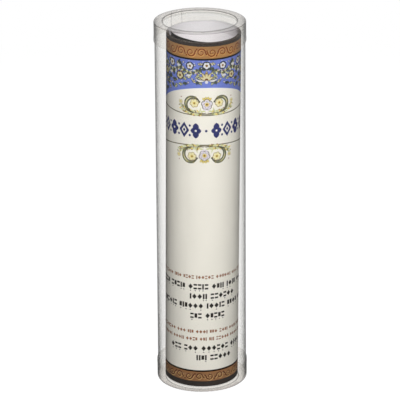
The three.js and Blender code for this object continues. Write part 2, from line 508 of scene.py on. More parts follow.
def draw_panel(page, dice):
    """Blue panel over an arch, with flowering vines that run out from a palmette."""
    left = PRINT_MIDDLE - ARCH_HALF_WIDTH
    right = PRINT_MIDDLE + ARCH_HALF_WIDTH
    across = PRINT_MIDDLE - ARCH_HALF_WIDTH * np.cos(np.linspace(0, math.pi, 97))
    arch = np.stack([across, arch_height(across)], axis=1)
    page.fill("panel", np.concatenate([arch, [(right, LINE_TOP_LOW), (left, LINE_TOP_LOW)]]))
    strips = (left - FRAME_SIDE, right)
    for strip in strips:
        page.box("panel", strip, strip + FRAME_SIDE, LINE_FOOT_TOP, LINE_TOP_LOW)
    page.box("line", strips[0] - FRAME_LINE, strips[0], LINE_FOOT_TOP, LINE_TOP_LOW)
    vines = Drawing()
    blooms = [np.array([PRINT_MIDDLE, height]) for height in (251.5, 256.0, TOP_BLOOM)]
    draw_bloom(vines, blooms[-1], BLOOM_RADIUS, PALE_BLOOM, FRONT_AZIMUTH)
    for hand in (-1, 1):
        for course, start, room in VINES:
            blooms += draw_vine(vines, course, start, ARCH_HALF_WIDTH - room, hand, dice)
    draw_filling(page, blooms, dice)
    page.shapes += vines.shapes
    for strip in strips:
        draw_strip_buds(page, strip + FRAME_SIDE / 2)
    draw_palmette(page, np.array([PRINT_MIDDLE, PALMETTE_FOOT]))


def draw_palmette(page, foot):
    for hand in (-1, 1):
        tip = foot + (hand * 8.6, 1.0)
        page.leaf("outline", foot + (hand * 0.6, 0), tip, 2.3, -hand * 1.1)
        page.leaf("petal_white", foot + (hand * 0.8, 0), tip, 1.5, -hand * 1.1)
    for ink, size in (("outline", 1.22), ("rim_gold", 1.0), ("panel_cream", 0.66)):
        for fan in (-62, -31, 0, 31, 62):
            length = (8.0 - abs(fan) * 0.035) * (0.93 if size < 1 else 1)
            tip = foot + length * heading(math.radians(90 + fan))
            page.leaf(ink, foot, tip, 2.3 * size, points=8)
    page.oval("eye_brown", foot + (0, 0.6), 2.6, 2.0)
    page.oval("petal_white", foot - (0, 1.3), 2.4, 2.8)
    page.oval("rim_gold", foot + (0, 5.6), 1.2, 1.6, points=8)


SPRAY_REACH = 10.4
SPRAY_RISE = 7.7
SPRAY_CURL = 6.4
SPRAY_STEM = ((0.5, 1.0), (3.4, 0.5), (6.6, 0.7))
SPRAY_TAIL = ((3.0, 0.9), (11, 1.0), (15.5, 2.4), (21, 4.8))
TAIL_LEAVES = ("leaf_pale", "petal_yellow", "leaf_olive", "leaf_pale")
# Points of the scroll that carry a leaf, and its length
SCROLL_LEAVES = ((6, 2.2), (11, 2.0), (16, 2.0), (21, 1.8))


def draw_spray_side(page, place, hand, up, dice):
    """One hand of a spray: a leafy scroll round a blossom, and a tail with a bud."""
    angles = np.linspace(-0.52 * math.pi, 0.86 * math.pi, 26)
    radii = SPRAY_CURL * (1 - 0.2 * (angles - angles[0]) / (angles[-1] - angles[0]))
    curl = radii[:, None] * heading(angles) + (SPRAY_REACH, SPRAY_RISE)
    scroll = [place(*spot) for spot in curl]
    page.stroke("stalk", [place(*spot) for spot in SPRAY_STEM] + scroll[:6], 0.5, 0.6)
    draw_sprig(page, [place(*spot) for spot in SPRAY_TAIL], 1.4, 3.0, TAIL_LEAVES, dice)
    page.stroke("rim_olive", scroll, 0.7, 0.6, 2.5)
    page.stroke("leaf_grey", scroll[4:22], 0.2, 0.2, 1.9)
    page.stroke("petal_cream", scroll[8:18], 0.1, 0.1, 0.5)
    for step, reach in SCROLL_LEAVES:
        out = turned(unit(scroll[step] - place(SPRAY_REACH, SPRAY_RISE)), up * hand * -0.7)
        page.leaf("leaf_olive", scroll[step], scroll[step] + out * reach, 1.0)
    page.dot("rim_olive", scroll[-1], 1.7)
    draw_flower(page, place(SPRAY_REACH - 0.8, SPRAY_RISE + 0.9), 3.6, 6, SPRAY_BLOOM, 0.2)
    for rise in (0.3, 1.5, 2.7):
        tip = place(5.9 - rise * 0.4, 3.0 + rise)
        page.leaf("leaf_pale", place(6.2, 1.6), tip, 0.8, hand * 0.5)
    draw_flower(page, place(20.8, 8.6), 1.7, 4, SPRAY_BLOOM, 0.8)
    page.stroke("stalk", [place(18.9, 4.4), place(20.2, 7.2)], 0.4, 0.35)
    page.leaf("leaf_olive", place(20.8, 6.6), place(22.9, 5.2), 0.9)
    page.dot("berry", place(20.4, 12.3), 1.0)


def draw_spray_heart(page, place, up):
    """The mauve blossom between a spray's scrolls, with a crown of yellow petals."""
    for fan in (-1.0, -0.35, 0.35, 1.0):
        tip = place(fan * 3.6, 14.6 - abs(fan) * 1.6)
        page.leaf("leaf_olive", place(fan, 10.8), tip, 2.0)
        page.leaf("petal_yellow", place(fan, 10.8), tip, 1.3)
    centre = place(0, SPRAY_RISE)
    draw_flower(page, centre, 4.5, 5, MAUVE_BLOOM, up * math.pi / 2)
    for angle in up * math.pi / 2 + evenly(5):
        for side in (-0.22, 0.22):
            vein = turned(heading(angle), side)
            page.stroke("rim_olive", [centre + vein * 1.8, centre + vein * 3.4], 0.3, 0.15)
    for hand in (-1, 1):
        base, tip = place(hand * 0.6, 2.6), place(hand * 4.4, 1.6)
        page.leaf("leaf_pale", base, tip, 1.3, hand * up * 0.3)
        page.leaf("petal_mauve", place(0, 2.6), place(hand * 2.4, 4.0), 1.2)


def draw_spray(page, middle, foot, up, dice):
    """A symmetrical spray of blossoms in leafy scrolls. up is 1, or -1 when it hangs."""

    def placer(hand):
        return lambda x, y: np.array([middle + hand * x, foot + up * y])

    for hand in (-1, 1):
        draw_spray_side(page, placer(hand), hand, up, dice)
    draw_spray_heart(page, placer(1), up)
    page.box("stalk", middle - 5.2, middle + 5.2, foot - 0.35, foot + 0.35)


BANNER_STROKE = 0.75
BANNER_HALF_WIDTH = 60
# Heights of the banner's two lines at its middle, and their rise BANNER_CURVE mm out
BANNER_TOP, BANNER_TOP_RISE = 223, 2.0
BANNER_LOW, BANNER_LOW_RISE = 199.4, -3.2
BANNER_CURVE = 38
TITLE_MIDDLE = 210.6
TITLE_HALF_WIDTH = 48
TITLE_HEIGHT = 12.4
TITLE_PITCH = 9.4
TITLE_GAP = 3.2


def draw_lozenge(page, place, wide, tall):
    for size, ink in ((2.0, "navy"), (1.0, "paper"), (0.54, "navy")):
        page.oval(ink, place, wide * size, tall * size, points=4)


def draw_quatrefoil(page, place, wide, tall):
    x, height = place
    for side in (-1, 1):
        page.leaf("navy", place, (x, height + side * tall), 4.8)
        page.leaf("navy", place, (x + side * wide, height), 4.4)
    page.dot("navy", place, 4.2, 12)
    page.dot("paper", place, 1.7)


def draw_title_row(page):
    """A row of plain navy ornaments where the title stood: framed lozenges, quatrefoils."""
    tall, wide = TITLE_HEIGHT / 2, TITLE_PITCH * 0.45
    for hand in (-1, 1):
        for number in range(int(TITLE_HALF_WIDTH / TITLE_PITCH)):
            x = PRINT_MIDDLE + hand * (TITLE_PITCH * (number + 0.5) + TITLE_GAP)
            ornament = draw_lozenge if number % 2 else draw_quatrefoil
            ornament(page, (x, TITLE_MIDDLE), wide, tall)
            for side in (-1, 1):
                bead = (x + hand * TITLE_PITCH / 2, TITLE_MIDDLE + side * tall * 0.62)
                page.dot("navy", bead, 1.9)
    page.dot("navy", (PRINT_MIDDLE, TITLE_MIDDLE), 2.0, 12)


def draw_banner(page, dice):
    x = np.linspace(-BANNER_HALF_WIDTH, BANNER_HALF_WIDTH, 61)
    for middle, rise in ((BANNER_TOP, BANNER_TOP_RISE), (BANNER_LOW, BANNER_LOW_RISE)):
        height = middle + rise * (x / BANNER_CURVE) ** 2
        page.stroke("stalk", np.stack([PRINT_MIDDLE + x, height], axis=1), BANNER_STROKE)
    draw_title_row(page)
    draw_spray(page, PRINT_MIDDLE + 0.4, BANNER_TOP + 1.0, 1, dice)
    draw_spray(page, PRINT_MIDDLE - 1.2, BANNER_LOW - 0.8, -1, dice)


ROWS_MIDDLE = 3.9
# Height of each row, half its width, its ink and how tall its marks are
ROWS = (
    (91.5, 60, "rust", 2.9),
    (83.7, 62, "black", 4.4),
    (75.6, 13.5, "black", 4.4),
    (67.7, 62, "black", 4.4),
    (59.5, 13.0, "black", 4.4),
    (46.2, 60, "rust", 2.9),
    (40.0, 60, "rust", 2.9),
    (32.2, 31, "black", 4.4),
    (24.3, 8, "black", 4.4),
)
# Each mark's width and the low and high edge of its boxes, as shares of its height. The
# one without a box is a lozenge.
MARKS = {
    "bar": (0.3, [(0, 1)]),
    "dashes": (0.62, [(0.68, 1), (0, 0.32)]),
    "lozenge": (0.8, []),
    "block": (0.5, [(0.12, 0.95)]),
}


def draw_mark(page, ink, kind, x, height, tall):
    """One plain mark that starts at x. Returns its width."""
    share, boxes = MARKS[kind]
    wide = tall * share
    if not boxes:
        page.oval(ink, (x + wide / 2, height), wide, tall, points=4)
    foot = height - tall / 2
    for low, high in boxes:
        page.box(ink, x, x + wide, foot + tall * low, foot + tall * high)
    return wide


def draw_rows(page, dice):
    """Rows of small plain marks, grouped as words are, with dots under some of them."""
    for height, half, ink, tall in ROWS:
        x = ROWS_MIDDLE - half
        while x < ROWS_MIDDLE + half:
            for _ in range(dice.randint(3, 6)):
                kind = dice.choice(("bar", "dashes", "lozenge", "block", "lozenge"))
                wide = draw_mark(page, ink, kind, x, height, tall)
                if ink == "black" and dice.random() < 0.6:
                    dot = (x + wide / 2, height - tall * 0.76)
                    page.oval(ink, dot, tall * 0.24, tall * 0.2, points=6)
                x += wide + tall * 0.14
            x += tall * 0.5


PRINT_SEED = 7


def title_print(left, right):
    """The printed face of the title leaf, bottom layer first."""
    dice = random.Random(PRINT_SEED)
    page = Drawing()
    for ink, low, high in BANDS:
        page.box(ink, left, right, low, high)
    draw_curls(page, "curl", "gold_light", left, right, GOLD_TOP_LOW, DARK_TOP)
    draw_curls(page, "curl_foot", "gold_foot_light", left, right, DARK_FOOT, GOLD_FOOT_TOP)
    draw_panel(page, dice)
    draw_banner(page, dice)
    draw_rows(page, dice)
    return page.shapes


def plain_print(left, right):
    """The outer face of an inner leaf: near-black bands along both long edges, partly a dark border
    and partly painted shade that makes the gap between the slack leaf and the roll look deep.
    """
    page = Drawing()
    page.box("deep_border", left, right, GOLD_TOP_LOW, PAPER_HEIGHT)
    page.box("deep_border", left, right, 0, GOLD_FOOT_TOP)
    return page.shapes


def blank_side(left, right):
    """The inner face of a leaf: bare, with a greyer band along the top that is painted shade for the
    roll's dim upper inside.
    """
    page = Drawing()
    page.box("blank_shaded", left, right, PAINTED_SHADE_LOW, PAPER_HEIGHT)
    return page.shapes


# Meshes
def cut_sheet(left, right, shapes, rim=None):
    """Cuts a flat sheet into triangles along the outline of every shape. Returns the
    points, the triangles and each triangle's topmost ink."""
    points = []

    def add(outline):
        first = len(points)
        points.extend(Vector(place) for place in outline)
        return list(range(first, len(points)))

    corners = [(left, 0), (right, 0), (right, PAPER_HEIGHT), (left, PAPER_HEIGHT)]
    faces = [add(rim or corners)]
    columns = np.linspace(left, right, int((right - left) / PRINT_COLUMN) + 1)[1:-1]
    edges = [add([(x, 0), (x, PAPER_HEIGHT)]) for x in columns]
    faces += [add(shape) for _, shape in shapes]
    inks = ["paper"] + [ink for ink, _ in shapes]
    made = delaunay_2d_cdt(points, edges, faces, 1, 1e-4, True)
    flat = np.array([(place.x, place.y) for place in made[0]])
    triangles, tops = [], []
    for triangle, sources in zip(made[2], made[5]):
        if 0 in sources:
            triangles.append(list(triangle))
            tops.append(inks[max(sources)])
    return flat, triangles, tops


def rim_loop(triangles):
    """The sheet's edge as one run of point numbers, in the triangles' own direction."""
    sides = set()
    for triangle in triangles:
        for first, second in zip(triangle, triangle[1:] + triangle[:1]):
            sides.add((first, second))
    ahead = {first: second for first, second in sides if (second, first) not in sides}
    start = next(iter(ahead))
    loop = [start]
    while ahead[loop[-1]] != start:
        loop.append(ahead[loop[-1]])
    return loop


class Skin:
    """A piece's mesh in the making: points, and faces with a normal for each corner."""

    def __init__(self, points=()):
        self.points = list(points)
        self.faces, self.normals, self.slots = [], [], []

    def add_face(self, corners, normals, slot):
        self.faces.append(corners)
        self.normals.extend(normals)
        self.slots.append(slot)

    def finish(self, name, materials):
        mesh = bpy.data.meshes.new(name)
        mesh.from_pydata([tuple(place) for place in self.points], [], self.faces)
        for material in materials:
            mesh.materials.append(material)
        mesh.polygons.foreach_set("material_index", self.slots)
        mesh.polygons.foreach_set("use_smooth", [True] * len(self.faces))
        mesh.update()
        mesh.normals_split_custom_set([tuple(normal) for normal in self.normals])
        return add_object(name, mesh)


def make_leaf(name, leaf, print_maker, inks):
    """One wound leaf of paper: its printed face, its blank face and the cut edge between."""
    winding = Winding(leaf)
    left, right = winding.left, winding.right
    flat, triangles, tops = cut_sheet(left, right, print_maker(left, right))
    loop = rim_loop(triangles)
    rim = [tuple(flat[i]) for i in loop]
    blank, blank_triangles, blank_tops = cut_sheet(left, right, blank_side(left, right), rim)
    outside, outside_normals = winding.place(flat, 1)
    inside, inside_normals = winding.place(blank, -1)
    points = np.concatenate([outside, inside])
    skin = Skin(points)
    names = sorted(set(tops)) + ["blank", "blank_shaded", "cut_edge"]
    for triangle, ink in zip(triangles, tops):
        skin.add_face(triangle, outside_normals[triangle], names.index(ink))
    first = len(outside)
    for triangle, ink in zip(blank_triangles, blank_tops):
        seen = triangle[::-1]
        slot = names.index("blank" if ink == "paper" else ink)
        skin.add_face([first + i for i in seen], inside_normals[seen], slot)
    under = {tuple(np.round(place, 3)): first + i for i, place in enumerate(blank)}
    below = [under[tuple(np.round(flat[i], 3))] for i in loop]
    for step, here in enumerate(loop):
        ahead = (step + 1) % len(loop)
        across = np.cross(points[here] - points[loop[ahead]], points[below[step]] - points[here])
        wall = [loop[ahead], here, below[step], below[ahead]]
        skin.add_face(wall, [unit(across)] * 4, names.index("cut_edge"))
    piece = skin.finish(name, [inks[ink] for ink in names])
    sheet = np.pad(np.concatenate([flat, blank]) * MM, ((0, 0), (0, 1)))
    place = piece.data.attributes.new("sheet_place", "FLOAT_VECTOR", "POINT")
    place.data.foreach_set("vector", sheet.ravel())
    return piece


# Material slots of the plastic: plain film, and bends from the sharpest to the gentlest
PLAIN, BEND, EDGE, SOFT_BEND = range(4)


def rounded_line(corners):
    """Segments along a line whose corners are rounded. Each corner is (r, z, radius, slot
    of the straight run to it, slot of its bend), and each segment is (start, start normal,
    end, end normal, slot), with normals to its left."""
    places = [np.array(corner[:2]) for corner in corners]
    segments = []
    start = places[0]
    for index in range(1, len(places)):
        here = places[index]
        before = unit(here - places[index - 1])
        side = left_of(before)
        radius, straight, bend = corners[index][2:]
        if index == len(places) - 1:
            segments.append((start, side, here, side, straight))
            break
        after = unit(places[index + 1] - here)
        turn = math.atan2(side @ after, before @ after)
        low = here - before * radius * math.tan(abs(turn) / 2)
        segments.append((start, side, low, side, straight))
        inward = math.copysign(radius, turn)
        centre = low + side * inward
        angles = np.linspace(0, turn, FILLET_STEPS + 1)
        for first, second in zip(angles, angles[1:]):
            ends = []
            for angle in (first, second):
                normal = turned(side, angle)
                ends += [centre - normal * inward, normal]
            segments.append((*ends, bend))
        start = segments[-1][2]
    return segments


def cap_profile(edge_radius):
    """The cap's closed section, face at height 0 and skirt downward, walls evenly thick."""
    band = RIM_BAND_HEIGHT + RIM_BAND_SLOPE - CAP_SKIRT_HEIGHT
    ring = CAP_OUTER - CAP_RING_WIDTH
    line = RECESS_LINE / RECESS_DEPTH
    outside = [
        (0, -RECESS_DEPTH, 0, PLAIN, PLAIN),
        (ring - RECESS_DRAFT, -RECESS_DEPTH, RECESS_FLOOR_RADIUS, PLAIN, SOFT_BEND),
        (ring - RECESS_DRAFT * line, -RECESS_DEPTH * line, 0, PLAIN, PLAIN),
        (ring, 0, RECESS_EDGE_RADIUS, BEND, BEND),
        (CAP_OUTER, 0, edge_radius, SOFT_BEND, EDGE),
        (CAP_OUTER, band, RIM_BAND_EDGE_RADIUS, PLAIN, PLAIN),
        (cap_high.x, band - RIM_BAND_SLOPE, RIM_BAND_EDGE_RADIUS, PLAIN, PLAIN),
        (cap_high.x, -CAP_SKIRT_HEIGHT, 0, PLAIN, PLAIN),
    ]
    outer = rounded_line(outside)
    inner = []
    for start, start_normal, end, end_normal, slot in reversed(outer):
        first, last = end - end_normal * CAP_WALL, start - start_normal * CAP_WALL
        inner.append((first, -end_normal, last, -start_normal, slot))
    down = np.array([0.0, -1.0])
    return outer + [(outer[-1][2], down, inner[0][0], down, SOFT_BEND)] + inner


def make_cap(name, height, flip, edge_radius, materials):
    """Turns the cap's section about the upright axis. height is its face's, and flip is 1,
    or -1 for the cap that is turned over."""
    rounds = heading(evenly(ROUND_STEPS)) * (1, flip)
    segments = cap_profile(edge_radius)
    skin = Skin()

    def ring(place):
        """Point numbers of a ring, which is a single point on the axis."""
        out, up = place
        first = len(skin.points)
        around = rounds if out > SAME_PLACE else rounds[:1]
        skin.points.extend((out * c, out * s, height + flip * up) for c, s in around)
        return [first + step % len(around) for step in range(ROUND_STEPS)]

    high = ring(segments[0][0])
    for start, start_normal, end, end_normal, slot in segments:
        if np.linalg.norm(end - start) < SAME_PLACE:
            continue
        low, high = high, ring(end)
        for step in range(ROUND_STEPS):
            ahead = (step + 1) % ROUND_STEPS
            # A face that touches the axis is left with three corners
            corners = {
                low[step]: (start_normal, rounds[step]),
                high[step]: (end_normal, rounds[step]),
                high[ahead]: (end_normal, rounds[ahead]),
                low[ahead]: (start_normal, rounds[ahead]),
            }
            normals = [(out * c, out * s, flip * up) for (out, up), (c, s) in corners.values()]
            skin.add_face(list(corners), normals, slot)
    return skin.finish(name, materials)


def make_tube(name, materials):
    """A clear tube, one sheet thicker inward over its lap, with a dull line of glue along
    both edges of the lap."""
    half_lap = TUBE_LAP / TUBE_INNER / 2
    lap_start, lap_end = TUBE_LAP_AZIMUTH - half_lap, TUBE_LAP_AZIMUTH + half_lap
    glue = GLUE_LINE / TUBE_INNER
    glued = ((lap_start, lap_start + glue), (lap_end - glue, lap_end))
    even = [
        angle
        for angle in evenly(ROUND_STEPS)
        if not any(low - glue / 2 < angle < high + glue / 2 for low, high in glued)
    ]
    skin = Skin()

    def line(radius, angle):
        """Numbers of the low and high end of an upright line."""
        spot = radius * heading(angle)
        skin.points.extend([(*spot, tube_low.z), (*spot, tube_high.z)])
        return len(skin.points) - 2, len(skin.points) - 1

    def wall(first, second, first_normal, second_normal, slot):
        """An upright face between two lines, the first on the left as it is seen."""
        corners = [first[0], second[0], second[1], first[1]]
        skin.add_face(corners, [first_normal, second_normal, second_normal, first_normal], slot)

    columns = []
    for angle in sorted([*even, *glued[0], *glued[1]]):
        radius = TUBE_INNER - TUBE_WALL if lap_start < angle <= lap_end else TUBE_INNER
        before = after = line(radius, angle)
        step = {lap_start: -1, lap_end: 1}.get(angle)
        if step:
            after = line(radius + step * TUBE_WALL, angle)
            along = (-step * math.sin(angle), step * math.cos(angle), 0)
            wall(after, before, along, along, BEND)
        out = np.array([*heading(angle), 0])
        columns.append((angle, out, line(TUBE_OUTER, angle), before, after))
    for column, column_ahead in zip(columns, columns[1:] + columns[:1]):
        angle, out, outer, _, inner = column
        _, out_ahead, outer_ahead, inner_ahead, _ = column_ahead
        wall(outer, outer_ahead, out, out_ahead, PLAIN)
        dull = any(low <= angle < high for low, high in glued)
        wall(inner_ahead, inner, -out_ahead, -out, EDGE if dull else PLAIN)
        foot = [outer_ahead[0], outer[0], inner[0], inner_ahead[0]]
        skin.add_face(foot, [(0, 0, -1)] * 4, SOFT_BEND)
        skin.add_face([number + 1 for number in reversed(foot)], [(0, 0, 1)] * 4, SOFT_BEND)
    return skin.finish(name, materials)


# Materials
def feed(tree, socket, value):
    """Gives a socket a plain value or another node's output."""
    if isinstance(value, bpy.types.NodeSocket):
        tree.links.new(value, socket)
    else:
        socket.default_value = value


def node(tree, kind, settings=None, **inputs):
    """Adds a shader node. Inputs are values or other nodes' outputs, by socket name."""
    made = tree.nodes.new("ShaderNode" + kind)
    for setting, value in (settings or {}).items():
        setattr(made, setting, value)
    for name, value in inputs.items():
        feed(tree, made.inputs[name.replace("_", " ")], value)
    return made


def maths(tree, operation, *values):
    made = node(tree, "Math", {"operation": operation})
    for socket, value in zip(made.inputs, values):
        feed(tree, socket, value)
    return made.outputs[0]


def ramp(tree, value, start, end, low=0.0, high=1.0, kind="LINEAR"):
    """Maps a value from start to end onto low to high, and holds it there beyond."""
    made = node(tree, "MapRange", {"interpolation_type": kind}, Value=value)
    for name, limit in zip(("From Min", "From Max", "To Min", "To Max"), (start, end, low, high)):
        made.inputs[name].default_value = limit
    return made.outputs["Result"]


def stretched(tree, place, scale):
    return node(tree, "Mapping", Vector=place, Scale=scale).outputs["Vector"]


def noise(tree, place, scale, detail, roughness=0.5):
    made = node(tree, "TexNoise", Vector=place, Scale=scale, Detail=detail, Roughness=roughness)
    return made.outputs["Fac"]


def spread(tree, noisy, low, high):
    """Maps a noise, which mostly lies between 0.3 and 0.7, onto low to high."""
    return ramp(tree, noisy, 0.3, 0.7, low, high)


def tinted(tree, colour, amount):
    """A colour made lighter and darker by an amount that varies about 1."""
    settings = {"data_type": "RGBA", "blend_type": "MULTIPLY"}
    return node(tree, "Mix", settings, Factor=1, A=colour, B=amount).outputs["Result"]


def joined(tree, kind, first, second, **inputs):
    """Two shaders in a MixShader or AddShader node."""
    made = node(tree, kind, **inputs)
    for socket, shader in zip(list(made.inputs)[-2:], (first, second)):
        tree.links.new(shader.outputs[0], socket)
    return made


def new_material(name):
    material = bpy.data.materials.new(name)
    material.use_nodes = True
    material.node_tree.nodes.clear()
    return material, material.node_tree


def show(tree, shader, output="OutputMaterial"):
    tree.links.new(shader.outputs[0], node(tree, output).inputs["Surface"])


FIBRE_SCALE = 2600.0
FIBRE_STRETCH = (1.0, 0.35, 1.0)
FIBRE_DEPTH = 0.04 * MM
FIBRE_BUMP = 0.25
BLOTCH_SCALE = 55.0
GRAIN_SCALE = 1500.0
STREAK_STRETCH = (22.0, 520.0, 1.0)
GLOSS_SWING = 0.06


def ink_material(
    name, colour, rough=0.5, blotch=0.1, grain=0.12, streak=0.0, gloss=0.06, powder=0.06
):
    """Ink on paper, or bare paper: uneven cover, fine print grain and paper fibre."""
    material, tree = new_material(name)
    place = node(tree, "TexCoord").outputs["Object"]
    sheet = node(tree, "Attribute", {"attribute_name": "sheet_place"}).outputs["Vector"]
    cover = noise(tree, place, BLOTCH_SCALE, 3.0, 0.6)
    fine = noise(tree, place, GRAIN_SCALE, 2.0)
    fibre = noise(tree, stretched(tree, sheet, FIBRE_STRETCH), FIBRE_SCALE, 2.0)
    wide = spread(tree, cover, 1 - blotch, 1 + blotch)
    amount = maths(tree, "MULTIPLY", wide, spread(tree, fine, 1 - grain, 1 + grain))
    if streak:
        band = noise(tree, stretched(tree, sheet, STREAK_STRETCH), 1.0, 2.0)
        amount = maths(tree, "MULTIPLY", amount, spread(tree, band, 1 - streak, 1 + streak))
    shader = node(
        tree,
        "BsdfPrincipled",
        Base_Color=tinted(tree, srgb(*colour), amount),
        Roughness=spread(tree, fine, rough - GLOSS_SWING, rough + GLOSS_SWING),
        Normal=node(tree, "Bump", Strength=FIBRE_BUMP, Distance=FIBRE_DEPTH, Height=fibre).outputs[0],
        Specular_IOR_Level=gloss,
        Diffuse_Roughness=powder,
    )
    show(tree, shader)
    return material


# Every ink and paper surface of the leaves: its screen colour, then roughness, blotch,
# grain, streak, gloss and powder as far as they aren't the usual ones
INKS = {
    "paper": ((237, 234, 225), 0.62, 0.018, 0.012),
    "blank": ((240, 238, 243), 0.68, 0.02, 0.012, 0.0, 0.06, 0.0),
    # The blank paper made greyer along the top of the inner face: painted shade
    "blank_shaded": ((222, 219, 224), 0.68, 0.03, 0.012, 0.0, 0.06, 0.0),
    "cut_edge": ((146, 134, 124), 0.8, 0.15, 0.2),
    "dark_border": ((44, 36, 32), 0.5, 0.16, 0.1, 0.1),
    # A dark border made near black as painted shade for the gap between the slack leaf and the roll
    "deep_border": ((14, 12, 13), 0.6, 0.1, 0.1),
    "gold_band": ((168, 122, 70), 0.45, 0.12, 0.08, 0.14, 0.3),
    "gold_foot": ((146, 102, 62), 0.45, 0.18, 0.1, 0.2, 0.3),
    "gold_light": ((204, 156, 92), 0.45, 0.06, 0.08),
    "gold_foot_light": ((204, 162, 104), 0.45, 0.1, 0.1),
    "curl": ((122, 54, 22),),
    "curl_foot": ((78, 34, 22),),
    "outline": ((44, 50, 66), 0.5, 0.08, 0.1),
    "line": ((22, 13, 6), 0.55, 0.08, 0.1),
    "panel": ((110, 127, 206), 0.5, 0.1, 0.08),
    "rim_gold": ((148, 122, 62),),
    "rim_olive": ((90, 88, 68),),
    "petal_cream": ((232, 224, 176), 0.55, 0.05, 0.08),
    "panel_cream": ((206, 199, 158), 0.55, 0.05, 0.08),
    "petal_white": ((214, 214, 216), 0.55, 0.04, 0.05),
    "petal_mauve": ((221, 214, 226), 0.55, 0.06, 0.08),
    "petal_yellow": ((226, 206, 118), 0.55, 0.08, 0.1),
    "eye_brown": ((104, 62, 38),),
    "berry": ((150, 84, 70),),
    "stalk": ((104, 98, 74), 0.55, 0.1, 0.12),
    "leaf_green": ((86, 96, 72), 0.55, 0.12, 0.12),
    "leaf_pale": ((204, 208, 156), 0.55, 0.08, 0.1),
    "leaf_olive": ((146, 138, 82), 0.55, 0.1, 0.12),
    "leaf_grey": ((120, 122, 98), 0.55, 0.14, 0.14),
    "navy": ((46, 50, 104), 0.45, 0.1, 0.1),
    "black": ((46, 42, 38),),
    "rust": ((148, 104, 76),),
}


FILM_STRETCH = (1.0, 1.0, 0.3)
SMEAR_SCALE = 60.0
SMEAR_LOSS = 0.008
SMEAR_SWING = 0.5
SCUFF_SCALE = 900.0
SCUFF_SWING = 0.4
SCUFF_LEAST_ROUGH = 0.7
WAVE_SCALE = 26.0
WAVE_DEPTH = 0.2 * MM
WAVE_BUMP = 0.12
DUST_COLOUR = srgb(225, 224, 220)
GLOSS_COLOUR = srgb(251, 251, 251)
NORMAL_GLOSS = 0.032
GLOSS_POWER = 5.0
EDGE_POWER = 7.0


def clear_film(name, tint, haze, rough, edge):
    """Clear plastic film. Each face lets light through and mirrors more at a grazing
    angle, with a little haze, and faint scuffs vary both. At a grazing angle the light's
    longer way through the film darkens it by the share of edge."""
    material, tree = new_material(name)
    place = stretched(tree, node(tree, "TexCoord").outputs["Object"], FILM_STRETCH)
    smear = noise(tree, place, SMEAR_SCALE, 4.0, 0.65)
    scuff = noise(tree, place, SCUFF_SCALE, 3.0)
    wave = noise(tree, place, WAVE_SCALE, 1.0)
    facing = node(tree, "LayerWeight", Blend=0.5).outputs["Facing"]
    darker = maths(tree, "MULTIPLY_ADD", maths(tree, "POWER", facing, EDGE_POWER), -edge, 1.0)
    passed = maths(tree, "MULTIPLY", darker, spread(tree, smear, 1 - SMEAR_LOSS, 1))
    clear = node(tree, "BsdfTransparent", Color=tinted(tree, tint, passed))
    dust = node(tree, "BsdfDiffuse", Color=DUST_COLOUR)
    patches = spread(tree, smear, haze * (1 - SMEAR_SWING), haze * (1 + SMEAR_SWING))
    dulling = spread(tree, scuff, 1 - SCUFF_SWING, 1 + SCUFF_SWING)
    gloss = node(
        tree,
        "BsdfGlossy",
        Color=GLOSS_COLOUR,
        Roughness=spread(tree, scuff, rough * SCUFF_LEAST_ROUGH, rough * (1 + SCUFF_SWING)),
        Normal=node(tree, "Bump", Strength=WAVE_BUMP, Distance=WAVE_DEPTH, Height=wave).outputs[0],
    )
    grazing = maths(tree, "POWER", facing, GLOSS_POWER)
    share = maths(tree, "MULTIPLY_ADD", grazing, 1 - NORMAL_GLOSS, NORMAL_GLOSS)
    hazy = joined(tree, "MixShader", clear, dust, Fac=maths(tree, "MULTIPLY", patches, dulling))
    show(tree, joined(tree, "MixShader", hazy, gloss, Fac=share))
    return material


# How much light each kind of bend lets through, from the sharpest to the gentlest. The bottom cap's
# bends let more through: painted light that stands for the pale floor under them.
BEND_TINTS = (0.58, 0.8, 0.89)
FOOT_BEND_PAINTED_LIGHT_TINTS = (0.76, 0.9, 0.96)
BEND_NAMES = ("bend", "edge", "soft_bend")
TUBE_TINT = (0.999, 0.997, 0.991, 1.0)
CAP_TINT = (0.998, 0.994, 0.984, 1.0)
TUBE_EDGE = 0.12
CAP_EDGE = 0.35
PLAIN_HAZE, PLAIN_ROUGH = 0.0025, 0.05
BEND_HAZE, BEND_ROUGH = 0.013, 0.08
BEND_WARMTH = (1.0, 0.985, 0.97)


def make_films(name, tint, edge, bend_tints):
    """A part's plain film, and its bends from the sharpest to the gentlest."""
    films = [clear_film(name + "_film", tint, PLAIN_HAZE, PLAIN_ROUGH, edge)]
    for bend_name, passed in zip(BEND_NAMES, bend_tints):
        colour = [passed * share for share in BEND_WARMTH] + [1.0]
        films.append(clear_film(f"{name}_film_{bend_name}", colour, BEND_HAZE, BEND_ROUGH, edge))
    return films


# Floor, surroundings and lights. Distances on the floor are from the object's axis.
FLOOR_HALF = 5.0
FLOOR_DROP = 0.2 * MM
FLOOR_COLOUR = srgb(232, 232, 232)
FLOOR_PAINT = 0.2
FLOOR_BOUNCE = 0.12
FLOOR_GLOW = 0.93
MOTTLE_SCALE = 30.0
MOTTLE = 0.01
WHITE_FROM, WHITE_TO = 0.3, 0.9
# Painted shadow: the floor's glow is dimmed under the case
PAINTED_SHADOW_GLOW = 0.97
PAINTED_SHADOW_FROM, PAINTED_SHADOW_TO = 0.03, 0.042
# Mirrored, the floor is darker near the object: painted shade
MIRROR_GLOW_NEAR, MIRROR_GLOW_FAR = 0.11, 0.26
MIRROR_FROM, MIRROR_TO = 0.05, 0.25
AMBIENT = 0.024
DIM_SIDES = 0.2
BRIGHT_TOP = 0.8
TOP_FROM, TOP_TO = 0.05, 0.2


